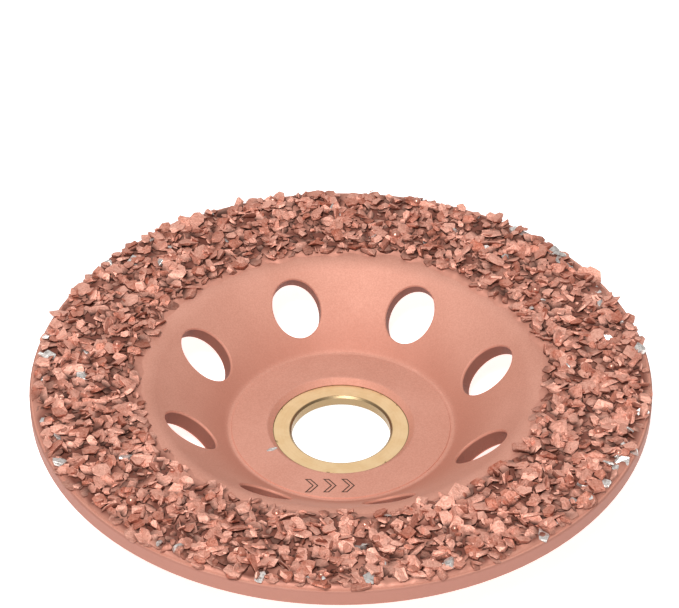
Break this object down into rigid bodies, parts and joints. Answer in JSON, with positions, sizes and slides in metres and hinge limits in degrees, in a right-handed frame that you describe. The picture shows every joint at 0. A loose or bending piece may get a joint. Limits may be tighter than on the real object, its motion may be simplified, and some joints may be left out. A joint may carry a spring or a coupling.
{
  "type": "angle grinder carving disc",
  "caption": "Dished grinder disc with a ring of coarse brazed carbide grit, oval vents in its wall and a brass reducing bush, for shaping wood or horn.",
  "frame": {"origin": "on the bore axis, on the hub's flat back face", "axes": "+Z along the bore axis towards the working side; the rotation mark engraved in the hub is at -Y"},
  "size_m": [0.1, 0.1, 0.0156],
  "materials": {
    "copper_plated_steel": "satin copper plate on pressed steel",
    "brass_bush": "turned brass",
    "copper_braze": "rough copper braze",
    "coated_carbide_grit": "crushed carbide coated with copper braze"
  },
  "bodies": {
    "root": {"cup_body": "copper_plated_steel", "bore_bushing": "brass_bush", "braze_bed": "copper_braze", "grit_sector_01": "coated_carbide_grit", "grit_sector_02": "coated_carbide_grit", "grit_sector_03": "coated_carbide_grit", "grit_sector_04": "coated_carbide_grit", "grit_sector_05": "coated_carbide_grit", "grit_sector_06": "coated_carbide_grit", "grit_sector_07": "coated_carbide_grit", "grit_sector_08": "coated_carbide_grit", "grit_sector_09": "coated_carbide_grit", "grit_sector_10": "coated_carbide_grit", "grit_sector_11": "coated_carbide_grit", "grit_sector_12": "coated_carbide_grit", "grit_sector_13": "coated_carbide_grit", "grit_sector_14": "coated_carbide_grit", "grit_sector_15": "coated_carbide_grit", "grit_sector_16": "coated_carbide_grit", "grit_sector_17": "coated_carbide_grit", "grit_sector_18": "coated_carbide_grit", "grit_sector_19": "coated_carbide_grit", "grit_sector_20": "coated_carbide_grit", "grit_sector_21": "coated_carbide_grit", "grit_sector_22": "coated_carbide_grit", "grit_sector_23": "coated_carbide_grit", "grit_sector_24": "coated_carbide_grit"}
  },
  "joints": []
}
